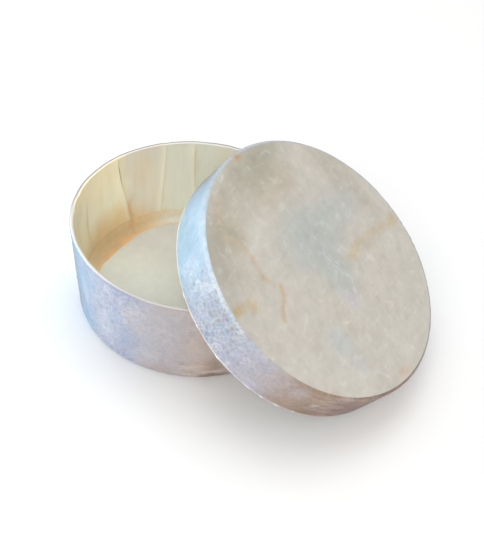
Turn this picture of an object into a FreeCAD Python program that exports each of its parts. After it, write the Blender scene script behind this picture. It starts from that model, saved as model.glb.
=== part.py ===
# A round box for go stones: a low bowl and a slip-over lid, both laminated from thin sheets of
# translucent shell over a resin core. The lid is off and leans on the bowl: its skirt hangs over the
# bowl's rim on one side and stands on the table on the other.
#
# Frame: millimetres, +Z up, origin at the centre of the bowl's underside, +X towards the lean of the lid.
# The lid's pieces are drawn upright, with the lower edge of the skirt at height 0, and then leaned.

import FreeCAD
import Part
import Sketcher
import math
import os
import re

# Driving dimensions, in millimetres and degrees.
DIMENSIONS = {
    "rim_radius": 67.0,      # bowl, outside, at the rim
    "base_radius": 62.9,     # bowl, outside, just above the rounded bottom corner
    "bowl_height": 54.7,
    "corner_radius": 3.0,    # rounding between the wall and the underside
    "core": 1.0,             # thickness of the resin core
    "veneer": 0.5,           # thickness of one layer of shell
    "band_height": 1.2,      # pale strips that close the edges of the laminate
    "edge_radius": 0.4,      # rounding of those strips
    "bead_radius": 7.0,      # hollow bead of resin in the bowl's inside corner
    "bead_edge": 0.2,        # thickness to which the bead runs out
    "seam_gap": 0.2,         # gap between neighbouring sheets of shell
    "lid_radius": 71.0,
    "lid_depth": 25.6,
    "lid_tilt": 31.66,       # lean of the lid
    "lid_shift": 57.7,       # centre of the skirt's lower edge, out from the bowl's axis
}

# Azimuths of the upright seams between sheets, in degrees. Offcuts of shell make them uneven.
SEAMS = {
    "outer_seam": [12, 70, 133, 190, 251, 308],
    "lining_seam": [30, 75, 120, 137, 160, 205, 250, 295, 340],
    "skirt_seam": [24, 88, 143, 205, 262, 322],
    "lid_lining_seam": [15, 92, 160, 236, 301],
}

# Seams between the sheets on the lid's top: inner points as fractions of the sheets' outer radius,
# and the azimuths at which seams reach the edge.
TOP_POINTS = {
    "west": (-0.44, -0.46),
    "fork": (-0.22, -0.50),
    "south": (-0.03, -0.68),
    "slope": (0.12, -0.29),
    "heart": (0.32, -0.06),
    "bend": (0.17, 0.18),
    "crown": (-0.06, 0.55),
    "east": (0.65, -0.29),
}
TOP_EDGE = {
    "edge_north": 73,
    "edge_northwest": 136,
    "edge_west": 213,
    "edge_south": 275,
    "edge_east": 345,
}
# Each sheet runs counter-clockwise along its seams; a step between two edge names follows the rim.
TOP_SHEETS = [
    ["edge_west", "edge_south", "south", "fork", "west"],
    ["edge_northwest", "edge_west", "west", "fork", "slope", "heart", "bend", "crown"],
    ["edge_north", "edge_northwest", "crown"],
    ["edge_east", "edge_north", "crown", "bend", "heart", "east"],
    ["edge_south", "edge_east", "east", "heart", "slope", "fork", "south"],
]

SHEET_NAME = "Dims"
WALL = "(core + 2 * veneer)"
CAPPED_HEIGHT = "(bowl_height - band_height)"
LID_CORE_RADIUS = "(lid_radius - veneer - core)"
TOP_SHEET_RADIUS = "(lid_radius - veneer - core)"
LID_RISE = "((lid_radius - edge_radius) * sin(lid_tilt) + edge_radius * (1 - cos(lid_tilt)))"
LID_LEAN = f"placement(vector(lid_shift; 0; {LID_RISE}); rotation(vector(0; 1; 0); lid_tilt))"

document = FreeCAD.newDocument("GoStoneBowl")
sheet = document.addObject("Spreadsheet::Sheet", SHEET_NAME)
pieces = []


def fill_sheet():
    """Writes every driving dimension into the spreadsheet, one row each, under its alias."""
    rows = dict(DIMENSIONS)
    for series, azimuths in SEAMS.items():
        for number, azimuth in enumerate(azimuths, 1):
            rows[f"{series}_{number}"] = azimuth
    rows.update(TOP_EDGE)
    for row, (alias, number) in enumerate(rows.items(), 1):
        sheet.set(f"A{row}", alias)
        sheet.set(f"B{row}", str(number))
        sheet.setAlias(f"B{row}", alias)
    document.recompute()
    return set(rows)


def bound(expression):
    """The expression with each alias addressed through the spreadsheet."""
    def address(match):
        word = match.group(0)
        return f"{SHEET_NAME}.{word}" if word in aliases else word
    return re.sub(r"[a-z]\w*", address, expression)


def value(expression):
    """The expression's present value."""
    return float(sheet.evalExpression(expression))


def origin_plane(body, role):
    for feature in body.Origin.OriginFeatures:
        if feature.Role == role:
            return feature
    raise ValueError(f"no {role} in {body.Label}")


def bow_centre(start, end, radius, counter_clockwise):
    """Centre of the short arc of that radius from start to end."""
    chord = end - start
    rise = math.sqrt(max(radius ** 2 - chord.Length ** 2 / 4, 0))
    left = FreeCAD.Vector(-chord.y, chord.x, 0).normalize()
    side = 1 if counter_clockwise else -1
    return (start + end) * 0.5 + left * rise * side


def draw_edge(sketch, start, end, bow):
    """Adds one edge and returns its number with the positions of its start and its end."""
    if bow is None:
        return sketch.addGeometry(Part.LineSegment(start, end), False), 1, 2
    radius, counter_clockwise = bow
    centre = bow_centre(start, end, value(radius), counter_clockwise)
    first, last = (start, end) if counter_clockwise else (end, start)
    angles = [math.atan2(point.y - centre.y, point.x - centre.x) for point in (first, last)]
    circle = Part.Circle(centre, FreeCAD.Vector(0, 0, 1), value(radius))
    edge = sketch.addGeometry(Part.ArcOfCircle(circle, *angles), False)
    constraint = sketch.addConstraint(Sketcher.Constraint("Radius", edge, value(radius)))
    sketch.setExpression(f"Constraints[{constraint}]", bound(radius))
    return (edge, 1, 2) if counter_clockwise else (edge, 2, 1)


def draw_outline(sketch, outline):
    """Draws a closed outline whose corners are pairs of expressions, each corner held by the sheet.

    A third entry in a corner, (radius, counter_clockwise), makes the edge that leaves it an arc.
    """
    corners = [FreeCAD.Vector(value(corner[0]), value(corner[1]), 0) for corner in outline]
    edges = []
    for number, corner in enumerate(outline):
        bow = corner[2] if len(corner) > 2 else None
        following = corners[(number + 1) % len(corners)]
        edges.append(draw_edge(sketch, corners[number], following, bow))
    for number, corner in enumerate(outline):
        edge, first, last = edges[number]
        next_edge, next_first, _ = edges[(number + 1) % len(edges)]
        sketch.addConstraint(Sketcher.Constraint("Coincident", edge, last, next_edge, next_first))
        for kind, expression in (("DistanceX", corner[0]), ("DistanceY", corner[1])):
            held = Sketcher.Constraint(kind, -1, 1, edge, first, value(expression))
            constraint = sketch.addConstraint(held)
            sketch.setExpression(f"Constraints[{constraint}]", bound(expression))


def sketched_body(name, plane, outline):
    body = document.addObject("PartDesign::Body", name)
    body.Label = name
    sketch = body.newObject("Sketcher::SketchObject", f"{name}_outline")
    sketch.AttachmentSupport = [(origin_plane(body, plane), "")]
    sketch.MapMode = "FlatFace"
    draw_outline(sketch, outline)
    pieces.append(body)
    return body, sketch


def turned(name, outline, frame=None, sector=None):
    """A piece of revolution about the upright axis: a ring, or the sector between two azimuths."""
    body, sketch = sketched_body(name, "XZ_Plane", outline)
    revolution = body.newObject("PartDesign::Revolution", f"{name}_turn")
    revolution.Profile = sketch
    revolution.ReferenceAxis = (sketch, ["V_Axis"])
    revolution.Angle = 360
    place = frame
    if sector:
        start, end = sector
        revolution.Midplane = True
        gap_angle = "seam_gap / rim_radius * 180 / pi"
        revolution.setExpression("Angle", bound(f"{end} - {start} - {gap_angle}"))
        spin = f"placement(vector(0; 0; 0); rotation(vector(0; 0; 1); ({start} + {end}) / 2))"
        place = f"{frame} * {spin}" if frame else spin
    if place:
        body.setExpression("Placement", bound(place))


def sectors(name, series, outline, frame=None):
    """Sheets side by side round the axis, one between each seam of the series and the next."""
    count = len(SEAMS[series])
    for number in range(1, count + 1):
        end = f"{series}_{number + 1}" if number < count else f"({series}_1 + 360)"
        turned(f"{name}_{number}", outline, frame, (f"{series}_{number}", end))


def disc(name, radius, bottom, thickness, frame=None):
    piece = document.addObject("Part::Cylinder", name)
    piece.Label = name
    piece.setExpression("Radius", bound(radius))
    piece.setExpression("Height", bound(thickness))
    lift = f"placement(vector(0; 0; {bottom}); rotation(vector(0; 0; 1); 0))"
    piece.setExpression("Placement", bound(f"{frame} * {lift}" if frame else lift))
    pieces.append(piece)


def bowl_radius(height):
    """Outside radius of the bowl's leaning wall at a height, as an expression."""
    rise = f"({height} - corner_radius) / (bowl_height - corner_radius)"
    return f"base_radius + (rim_radius - base_radius) * {rise}"


def bowl_layer(outside, inside):
    """Profile of one layer of the bowl's wall, between two depths below its outer surface."""
    corner_foot = "base_radius - corner_radius"
    return [
        (corner_foot, outside, (f"corner_radius - {outside}", True)),
        (f"base_radius - {outside}", "corner_radius"),
        (f"{bowl_radius(CAPPED_HEIGHT)} - {outside}", CAPPED_HEIGHT),
        (f"{bowl_radius(CAPPED_HEIGHT)} - {inside}", CAPPED_HEIGHT),
        (f"base_radius - {inside}", "corner_radius", (f"corner_radius - {inside}", False)),
        (corner_foot, inside),
    ]


def rim_band(outer_radius, inner_radius, seat, edge):
    """Profile of an edge strip from its seat to its free edge, whose two corners are rounded."""
    upward = value(edge) > value(seat)
    inward = f"{edge} - edge_radius" if upward else f"{edge} + edge_radius"
    return [
        (inner_radius, seat),
        (inner_radius, inward, ("edge_radius", not upward)),
        (f"{inner_radius} + edge_radius", edge),
        (f"{outer_radius} - edge_radius", edge, ("edge_radius", not upward)),
        (outer_radius, inward),
        (outer_radius, seat),
    ]


def corner_bead():
    """Profile of the hollow bead in the bowl's inside corner, seated on the lining and the floor."""
    top = f"({WALL} + bead_radius)"
    wall_radius = f"{bowl_radius(top)} - {WALL}"
    face_radius = "(bead_radius - bead_edge)"
    return [
        ("base_radius - corner_radius", WALL, (f"corner_radius - {WALL}", True)),
        (f"base_radius - {WALL}", "corner_radius"),
        (wall_radius, top),
        (f"{wall_radius} - bead_edge", top, (face_radius, False)),
        (f"{wall_radius} - bead_radius", f"{WALL} + bead_edge"),
        (f"{wall_radius} - bead_radius", WALL),
    ]


def build_bowl():
    corner_foot = "base_radius - corner_radius"
    inner_veneer = "(core + veneer)"
    turned("bowl_wall_core", bowl_layer("veneer", inner_veneer))
    disc("bowl_base_core", corner_foot, "veneer", "core")
    disc("bowl_underside_shell", corner_foot, "0", "veneer")
    disc("bowl_floor_shell", corner_foot, inner_veneer, "veneer")
    turned("bowl_corner_bead", corner_bead())
    rim_inner = f"{bowl_radius(CAPPED_HEIGHT)} - {WALL}"
    turned("bowl_rim_band", rim_band("rim_radius", rim_inner, CAPPED_HEIGHT, "bowl_height"))
    sectors("bowl_outer_shell", "outer_seam", bowl_layer("0", "veneer"))
    sectors("bowl_lining_shell", "lining_seam", bowl_layer(inner_veneer, WALL))


def build_lid_skirt():
    shoulder = "(lid_depth - veneer - core)"
    turned("lid_skirt_core", [
        (LID_CORE_RADIUS, "band_height"),
        ("lid_radius - veneer", "band_height"),
        ("lid_radius - veneer", shoulder, ("core", True)),
        (LID_CORE_RADIUS, "lid_depth - veneer"),
    ], LID_LEAN)
    band = rim_band("lid_radius", f"lid_radius - {WALL}", "band_height", "0")
    turned("lid_rim_band", band, LID_LEAN)
    sectors("lid_skirt_shell", "skirt_seam", [
        ("lid_radius - veneer", "band_height"),
        ("lid_radius", "band_height"),
        ("lid_radius", shoulder, ("core + veneer", True)),
        (LID_CORE_RADIUS, "lid_depth"),
        (LID_CORE_RADIUS, "lid_depth - veneer", ("core", False)),
        ("lid_radius - veneer", shoulder),
    ], LID_LEAN)
    sectors("lid_lining_shell", "lid_lining_seam", [
        (f"lid_radius - {WALL}", "band_height"),
        (LID_CORE_RADIUS, "band_height"),
        (LID_CORE_RADIUS, f"lid_depth - {WALL}"),
        (f"lid_radius - {WALL}", f"lid_depth - {WALL}"),
    ], LID_LEAN)


def top_corner(name):
    """A named point of the lid's top as a pair of expressions."""
    if name in TOP_EDGE:
        return f"{TOP_SHEET_RADIUS} * cos({name})", f"{TOP_SHEET_RADIUS} * sin({name})"
    along, across = TOP_POINTS[name]
    return f"{TOP_SHEET_RADIUS} * ({along})", f"{TOP_SHEET_RADIUS} * ({across})"


def build_lid_top():
    disc("lid_top_core", LID_CORE_RADIUS, "lid_depth - veneer - core", "core", LID_LEAN)
    disc("lid_ceiling_shell", LID_CORE_RADIUS, f"lid_depth - {WALL}", "veneer", LID_LEAN)
    lift = "placement(vector(0; 0; lid_depth - veneer); rotation(vector(0; 0; 1); 0))"
    for number, names in enumerate(TOP_SHEETS, 1):
        outline = []
        for name, following in zip(names, names[1:] + names[:1]):
            corner = top_corner(name)
            if name in TOP_EDGE and following in TOP_EDGE:
                corner += ((TOP_SHEET_RADIUS, True),)
            outline.append(corner)
        label = f"lid_top_shell_{number}"
        body, sketch = sketched_body(label, "XY_Plane", outline)
        pad = body.newObject("PartDesign::Pad", f"{label}_pad")
        pad.Profile = sketch
        pad.setExpression("Length", bound("veneer"))
        body.setExpression("Placement", bound(f"{LID_LEAN} * {lift}"))


def export_pieces():
    """Checks every object and writes each piece to a file of its own."""
    document.recompute()
    for item in document.Objects:
        if "Invalid" in item.State or "Error" in item.State:
            raise RuntimeError(f"{item.Label} did not compute: {item.State}")
    os.makedirs("parts", exist_ok=True)
    for piece in pieces:
        shape = piece.Shape
        if shape.isNull() or not shape.isValid() or len(shape.Solids) != 1:
            raise RuntimeError(f"{piece.Label} is not one valid solid")
    for piece in pieces:
        piece.Shape.exportStep(f"parts/{piece.Label}.step")
        print(f"{piece.Label}: {piece.Shape.Volume:.0f} cubic millimetres")


aliases = fill_sheet()
build_bowl()
build_lid_skirt()
build_lid_top()
export_pieces()
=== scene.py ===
"""Looks of the go stone bowl: a bowl and a slip-over lid laminated from translucent shell.

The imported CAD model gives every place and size. Each visible sheet of shell is rebuilt here as a closed
mesh with its own relief: facets of crackled nacre outside, lapped sheets inside, grown shell on the lid's
top. Colour is painted on the vertices in broad patches, and the shader nodes add the fine grain.
Lengths are in metres, angles in radians unless a name says otherwise.
"""
import math

import bmesh
import bpy
import numpy as np
from mathutils import Matrix, Vector
from mathutils.geometry import delaunay_2d_cdt


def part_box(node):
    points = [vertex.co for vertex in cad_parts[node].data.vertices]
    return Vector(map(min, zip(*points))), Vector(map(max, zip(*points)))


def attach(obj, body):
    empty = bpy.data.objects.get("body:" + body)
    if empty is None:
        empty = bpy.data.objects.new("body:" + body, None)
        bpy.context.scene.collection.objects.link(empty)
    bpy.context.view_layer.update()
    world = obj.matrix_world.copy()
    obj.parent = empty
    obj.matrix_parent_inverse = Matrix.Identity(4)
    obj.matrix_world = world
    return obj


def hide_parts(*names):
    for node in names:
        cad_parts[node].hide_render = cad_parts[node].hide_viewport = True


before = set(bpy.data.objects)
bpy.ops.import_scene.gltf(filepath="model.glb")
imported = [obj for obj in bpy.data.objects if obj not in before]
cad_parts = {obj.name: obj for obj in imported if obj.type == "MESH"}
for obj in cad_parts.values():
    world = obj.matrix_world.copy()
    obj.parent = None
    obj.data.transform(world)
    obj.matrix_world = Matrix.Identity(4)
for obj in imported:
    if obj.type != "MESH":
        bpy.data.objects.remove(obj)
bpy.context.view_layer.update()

MM = 0.001
FINE_STEP = 0.5 * MM        # spacing of the vertices of a crackled sheet
SMOOTH_STEP = 0.9 * MM      # spacing of the vertices of a smooth lining sheet
TOP_STEP = 0.7 * MM         # spacing of the vertices of the lid's top
PLAIN_STEP = 1.3 * MM       # spacing of the vertices of the other flat sheets
RING_COLUMNS = 480          # columns of vertices round a whole ring
CORNER_RADIUS = 3.0 * MM    # rounding of the bowl's bottom corner
SEAM_GAP = 0.04 * MM        # gap between neighbouring sheets
CRACKLE_CELL = 2.5 * MM     # size of a facet of crackled nacre
CRACKLE_SLOPE = 0.07        # how far the facets tilt, as a slope
CRACK_WIDTH = 0.45 * MM     # width of the ridge between two facets
CALM_EDGE = 1.0 * MM        # width along a sheet's border where its relief fades out
UPRIGHT = 0.15              # a wall whose normal rises by less than this share is upright
SHARP_EDGE = math.radians(42)   # edges that turn by more than this are shaded sharp


# ---- measures taken from the frame

def node_points(*names):
    """Vertices of CAD nodes, in the row frame, as an array."""
    return np.array([v.co[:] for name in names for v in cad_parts[name].data.vertices])


def nodes_named(prefix):
    found = [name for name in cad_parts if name.startswith(prefix)]
    return sorted(found, key=lambda name: int(name.rsplit("_", 1)[1]))


RIM_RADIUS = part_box("bowl_rim_band")[1].x
BOWL_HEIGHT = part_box("bowl_rim_band")[1].z
CAPPED_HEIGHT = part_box("bowl_rim_band")[0].z
FOOT_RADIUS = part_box("bowl_underside_shell")[1].x
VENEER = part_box("bowl_underside_shell")[1].z
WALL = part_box("bowl_floor_shell")[1].z
BEAD_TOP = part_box("bowl_corner_bead")[1].z
BASE_RADIUS = FOOT_RADIUS + CORNER_RADIUS


def lid_frame():
    """Matrix from the lid's own upright frame, its skirt's lower edge at height 0, to the row frame."""
    disc, band = node_points("lid_ceiling_shell"), node_points("lid_rim_band")
    axis = np.linalg.svd(disc - disc.mean(axis=0))[2][2]
    axis = axis * np.sign(axis[2])
    along = np.cross((0, 1, 0), axis)
    middle = ((band @ along).min() + (band @ along).max()) / 2
    origin = along * middle + axis * (band @ axis).min()
    rows = np.column_stack([along, (0, 1, 0), axis, origin])
    return Matrix([list(row) for row in rows] + [[0, 0, 0, 1]])


LID = lid_frame()


def lid_points(*names):
    """Vertices of CAD nodes in the lid's own frame."""
    inverse = np.array(LID.inverted())
    return node_points(*names) @ inverse[:3, :3].T + inverse[:3, 3]


LID_RADIUS = np.hypot(*lid_points("lid_rim_band").T[:2]).max()
LID_BAND = lid_points("lid_rim_band")[:, 2].max()
LID_DEPTH = lid_points("lid_top_shell_1")[:, 2].max()
SHEET_RADIUS = np.hypot(*lid_points("lid_top_core").T[:2]).max()
SHOULDER = LID_RADIUS - SHEET_RADIUS


def seam_azimuths(names, points):
    """Azimuth at which each sheet of a ring starts, read from the sheets' own vertices."""
    starts = []
    for name in names:
        x, y = points(name).T[:2]
        azimuths = np.sort(np.mod(np.arctan2(y, x), math.tau))
        gaps = np.diff(np.append(azimuths, azimuths[0] + math.tau))
        starts.append(float(azimuths[(np.argmax(gaps) + 1) % len(azimuths)]))
    return starts


# ---- noise and colour

def lattice_noise(points, size, seed):
    """Smooth noise from -1 to 1 at points, with features about size across.

    The large factors only scatter the number of a lattice corner into a random-looking one.
    """
    cells = points / size
    corner = np.floor(cells).astype(np.int64)
    part = cells - corner
    ease = part * part * (3 - 2 * part)
    total = np.zeros(points.shape[:-1])
    for shift in np.ndindex(2, 2, 2):
        key = (corner + shift) @ np.array([73856093, 19349663, 83492791]) + seed * 2654435761
        key = (key ^ (key >> 13)) * 1274126177 & 0x7FFFFFFF
        key = (key ^ (key >> 16)) * 1103515245 & 0x7FFFFFFF
        weight = np.prod(np.where(shift, ease, 1 - ease), axis=-1)
        total += weight * ((key >> 7) % 65536 / 32768 - 1)
    return total


def cloud(points, size, seed):
    """Three layers of noise, each half as large and strong as the one before; size in millimetres."""
    layers = [lattice_noise(points, size * MM / 2 ** k, seed + k) / 2 ** k for k in range(3)]
    return sum(layers) / (1 + 1 / 2 + 1 / 4)


def wander(points, size, seed):
    """Two clouds as the two parts of a sideways wander."""
    return np.stack([cloud(points, size, seed), cloud(points, size, seed + 1)], axis=-1)


def smooth_step(low, high, x):
    share = np.clip((x - low) / (high - low), 0, 1)
    return share * share * (3 - 2 * share)


def bell(x, half_width):
    return np.exp(-(x / half_width) ** 2)


def colour(red, green, blue):
    """Linear colour from the usual 0 to 255 values."""
    values = np.array([red, green, blue]) / 255
    return np.where(values <= 0.04045, values / 12.92, ((values + 0.055) / 1.055) ** 2.4)


def tinted(paint, tint, share):
    """Paint mixed with a tint by a share that varies from point to point."""
    share = np.clip(share, 0, 1)[..., None]
    return paint * (1 - share) + tint * share


def coated(paint, *coats):
    """Paint under several tints, each with its share."""
    for tint, share in coats:
        paint = tinted(paint, tint, share)
    return paint


def azimuth_of(points):
    return np.degrees(np.mod(np.arctan2(points[..., 1], points[..., 0]), math.tau))


def turn_from(azimuth, centre):
    """Degrees from a centre azimuth to another, from -180 to 180."""
    return np.mod(azimuth - centre + 180, 360) - 180


def sector(azimuth, centre, half_width):
    """A bell in degrees round a centre azimuth."""
    return bell(turn_from(azimuth, centre), half_width)


def ring_tone(azimuth, tones):
    """Colour round a wall, blended between the colours given at some azimuths."""
    places = [place for place, _ in tones]
    channels = [np.interp(azimuth, places, [tone[k] for _, tone in tones], period=360) for k in range(3)]
    return np.stack(channels, axis=-1)


def dabbed(paint, points, dabs, seed, place_of):
    """Lays ragged patches on the paint, each with its place, half sizes, tint and strength.

    place_of(points, place) gives the offsets of the points from a place, in millimetres.
    """
    ragged = wander(points, 9, seed) * 3.5
    for place, half_sizes, tint, strength in dabs:
        gap = np.linalg.norm((place_of(points, place) + ragged) / half_sizes, axis=-1)
        paint = tinted(paint, tint, strength * smooth_step(1.35, 0.35, gap))
    return paint


def wall_offsets(points, place):
    """Offsets in millimetres from a place on a wall given as degrees round and millimetres up."""
    radius = np.hypot(points[..., 0], points[..., 1])
    along = np.radians(turn_from(azimuth_of(points), place[0])) * radius
    return np.stack([along / MM, points[..., 2] / MM - place[1]], axis=-1)


def plate_offsets(points, place):
    """Offsets in millimetres from a place on a flat sheet."""
    return points[..., :2] / MM - place


# ---- meshes

SCENE = bpy.context.scene


def placed(name, data):
    """Adds an object to the scene; data is its mesh, light or camera."""
    made = bpy.data.objects.new(name, data)
    SCENE.collection.objects.link(made)
    return made


def finished(node, mesh, material, matrix=None):
    """Makes a piece of a mesh in place of a CAD node, riding on the body that the node's name begins with."""
    if matrix is not None:
        mesh.transform(matrix)
    made = bmesh.new()
    made.from_mesh(mesh)
    bmesh.ops.recalc_face_normals(made, faces=made.faces)
    made.to_mesh(mesh)
    made.free()
    mesh.shade_smooth()
    mesh.set_sharp_from_angle(angle=SHARP_EDGE)
    mesh.materials.append(material)
    piece = placed("shown_" + node, mesh)
    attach(piece, node.split("_")[0])
    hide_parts(node)


def marked_mesh(vertices, faces, marks, picked):
    """Mesh whose marks, numbers or colours, are vertex attributes; picked tells each vertex its mark."""
    mesh = bpy.data.meshes.new("shell")
    mesh.from_pydata(vertices.tolist(), [], faces)
    for name, values in marks.items():
        values = values.reshape(picked.max() + 1, -1)[picked]
        kind, key = "FLOAT", "value"
        if values.shape[1] == 3:
            kind, key = "FLOAT_COLOR", "color"
            values = np.column_stack([values, np.ones(len(values))])
        attribute = mesh.attributes.new(name, kind, "POINT")
        attribute.data.foreach_set(key, values.astype(np.float32).ravel())
    return mesh


def line(start, end, spacing):
    """Points of a straight profile as rows of radius, height and the normal to its right."""
    start, end = np.array(start), np.array(end)
    run = end - start
    count = max(2, math.ceil(np.linalg.norm(run) / spacing) + 1)
    right = np.array([run[1], -run[0]]) / np.linalg.norm(run)
    return [(*(start + run * share), *right) for share in np.linspace(0, 1, count)]


def arc(centre, radius, start_degrees, end_degrees, spacing):
    """Points of a rounded profile, with the normal away from the centre of the arc."""
    turn = math.radians(end_degrees - start_degrees)
    count = max(4, math.ceil(abs(turn) * radius / spacing) + 1)
    angles = np.linspace(math.radians(start_degrees), math.radians(end_degrees), count)
    return [(centre[0] + radius * math.cos(a), centre[1] + radius * math.sin(a),
             math.cos(a), math.sin(a)) for a in angles]


def turned(radius, height, azimuths):
    """Points at a radius and a height, turned to some azimuths round the upright axis."""
    parts = np.broadcast_arrays(radius * np.cos(azimuths), radius * np.sin(azimuths), height)
    return np.stack(parts, axis=-1)


def all_round(count):
    return np.linspace(0, math.tau, count, endpoint=False)


def sheet_grid(profile, starts, ends, spacing):
    """Points, normals and azimuths of a curved sheet between two azimuths, which may follow the profile."""
    profile = np.array(profile)
    starts = np.broadcast_to(starts, len(profile))
    ends = np.broadcast_to(ends, len(profile))
    columns = math.ceil(np.mean(ends - starts) * profile[:, 0].mean() / spacing) + 1
    azimuths = starts + (ends - starts) * np.linspace(0, 1, columns)[:, None]
    radius, height, out, up = profile.T
    return turned(radius, height, azimuths), turned(out, up, azimuths), azimuths


def sheet_mesh(points, normals, heights, marks, thickness):
    """Closed mesh of a curved sheet: a face with relief, a plain coarse back and the edges between."""
    columns, rows = points.shape[:2]
    upright = np.abs(normals[0, :, 2]) < UPRIGHT
    kept = [k for k in range(rows) if k in (0, rows - 1) or not upright[k] or not upright[k - 1]]
    front = (points + normals * heights[..., None]).reshape(-1, 3)
    back = (points - normals * thickness)[:, kept].reshape(-1, 3)
    face_index = np.arange(columns * rows).reshape(columns, rows)
    back_index = np.arange(columns * len(kept)).reshape(columns, len(kept)) + columns * rows

    def quads(index):
        corners = (index[:-1, :-1], index[1:, :-1], index[1:, 1:], index[:-1, 1:])
        return np.stack(corners, axis=-1).reshape(-1, 4).tolist()
    faces = quads(face_index) + [quad[::-1] for quad in quads(back_index)]
    for row in (0, -1):
        faces += quads(np.stack([face_index[:, row], back_index[:, row]], axis=1))
    for column in (0, -1):
        faces.append(face_index[column].tolist() + back_index[column][::-1].tolist())
    picked = np.concatenate([face_index.ravel(), face_index[:, kept].ravel()])
    return marked_mesh(np.concatenate([front, back]), faces, marks, picked)


def ring_mesh(loops, marks):
    """Closed mesh of a ring from an array of loops: columns round the ring, rows round its section."""
    columns, rows = loops.shape[:2]
    index = np.arange(columns * rows).reshape(columns, rows)
    ahead, beside = np.roll(index, -1, axis=0), np.roll(index, -1, axis=1)
    both = np.roll(ahead, -1, axis=1)
    faces = np.stack([index, ahead, both, beside], axis=-1).reshape(-1, 4)
    return marked_mesh(loops.reshape(-1, 3), faces.tolist(), marks, index.ravel())


def plate_points(outline, spacing):
    """Points of a flat sheet, the outline's first, the triangles that join them and the outline's count."""
    low, high = outline.min(axis=0), outline.max(axis=0)
    rows = np.arange(low[1], high[1], spacing * math.sqrt(0.75))
    grid = [(x + (k % 2) * spacing / 2, y) for k, y in enumerate(rows)
            for x in np.arange(low[0], high[0], spacing)]
    inner = np.array(grid)
    inner = inner[inside(inner, outline) & (border_distance(inner, outline) > spacing * 0.55)]
    count = len(outline)
    ring = [(k, (k + 1) % count) for k in range(count)]
    spots = [Vector(p) for p in np.concatenate([outline, inner])]
    spots, _, faces, *_ = delaunay_2d_cdt(spots, ring, [list(range(count))], 1, 1e-7)
    return np.array([p[:] for p in spots]), [list(face) for face in faces], count


def inside(points, outline):
    """Which points lie inside a closed outline."""
    found = np.zeros(len(points), bool)
    for start, end in zip(outline, np.roll(outline, -1, axis=0)):
        crosses = (start[1] > points[:, 1]) != (end[1] > points[:, 1])
        with np.errstate(divide="ignore", invalid="ignore"):
            reach = (points[:, 1] - start[1]) / (end[1] - start[1]) * (end[0] - start[0]) + start[0]
        found ^= crosses & (points[:, 0] < reach)
    return found


def line_distance(points, path):
    """Distance from each point to an open path."""
    nearest = np.full(len(points), np.inf)
    for start, end in zip(path[:-1], path[1:]):
        run = end - start
        share = np.clip((points - start) @ run / max(run @ run, 1e-18), 0, 1)
        gap = np.linalg.norm(points - start - share[:, None] * run, axis=1)
        nearest = np.minimum(nearest, gap)
    return nearest


def border_distance(points, outline):
    return line_distance(points, np.concatenate([outline, outline[:1]]))


def plate_mesh(outline, height, thickness, relief, spacing):
    """Closed mesh of a flat sheet: a face with relief at a height, and a flat back thickness behind it.

    relief(points, gaps) gives the heights above the face and the marks, from the points and their
    distances to the outline; a thickness below 0 makes the sheet face down.
    """
    spots, faces, count = plate_points(outline, spacing)
    points = np.column_stack([spots, np.full(len(spots), height)])
    lift, marks = relief(points, border_distance(spots, outline))
    front = points + np.outer(math.copysign(1, thickness) * lift, (0, 0, 1))
    back = np.column_stack([spots[:count], np.full(count, height - thickness)])
    total = len(spots)
    faces += [[k, (k + 1) % count, total + (k + 1) % count, total + k] for k in range(count)]
    faces.append([total + k for k in range(count)])
    picked = np.concatenate([np.arange(total), np.arange(count)])
    return marked_mesh(np.concatenate([front, back]), faces, marks, picked)


def circle(radius):
    return turned(radius, 0, all_round(RING_COLUMNS))[:, :2]


# ---- crackled nacre

# Colours of the outer walls and of the details on them.
CYAN = colour(170, 203, 228)
SKY = colour(134, 180, 221)
HAZE = colour(178, 190, 212)
PERIWINKLE = colour(176, 180, 200)
LAVENDER = colour(184, 180, 194)
MAUVE = colour(184, 171, 174)
CLAY = colour(168, 140, 118)
UMBER = colour(138, 98, 70)
PEARL = colour(192, 194, 202)
LILAC = colour(192, 188, 195)
ROSE = colour(200, 178, 166)
FROST = colour(238, 242, 248)
SLATE = colour(146, 156, 184)
BLUISH = colour(150, 186, 232)
VIOLET = colour(184, 176, 214)
RUST = colour(150, 106, 76)
BLUSH = colour(204, 180, 164)
BARK = colour(120, 84, 66)

# Colours of the lid's top.
GREIGE = colour(192, 187, 177)
COOL = colour(174, 179, 177)
SAND = colour(180, 171, 155)
DUSK = colour(172, 166, 153)
PALE = colour(200, 196, 187)
ASH = colour(152, 148, 136)
TAWNY = colour(190, 168, 128)
BURNT = colour(186, 150, 110)

# Colours round the outer walls: degrees, colour. Besides the nacre's own tones they hold painted light: the
# bluer tones round 200 to 240 degrees are partly a painted reflection of the cool window lamp, and the
# skirt's browns from 294 to 340 degrees, where it faces down, are painted shade.
BOWL_TONES = [(200, SKY), (218, colour(124, 180, 222)), (234, colour(127, 191, 233)), (250, HAZE),
              (262, colour(166, 174, 199)), (272, colour(187, 183, 190)), (288, colour(187, 175, 177)),
              (304, ROSE), (330, MAUVE), (0, LAVENDER), (40, HAZE), (65, SKY), (90, PERIWINKLE),
              (115, LILAC), (140, ROSE), (165, LAVENDER)]
SKIRT_TONES = [(180, HAZE), (196, CYAN), (228, CYAN), (239, colour(176, 188, 206)),
               (250, colour(157, 159, 167)), (267, colour(178, 172, 185)), (279, colour(178, 163, 162)),
               (294, colour(168, 138, 114)), (314, UMBER), (340, CLAY), (10, MAUVE), (40, LAVENDER),
               (65, SKY), (90, PERIWINKLE), (120, LILAC), (150, PEARL)]

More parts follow.
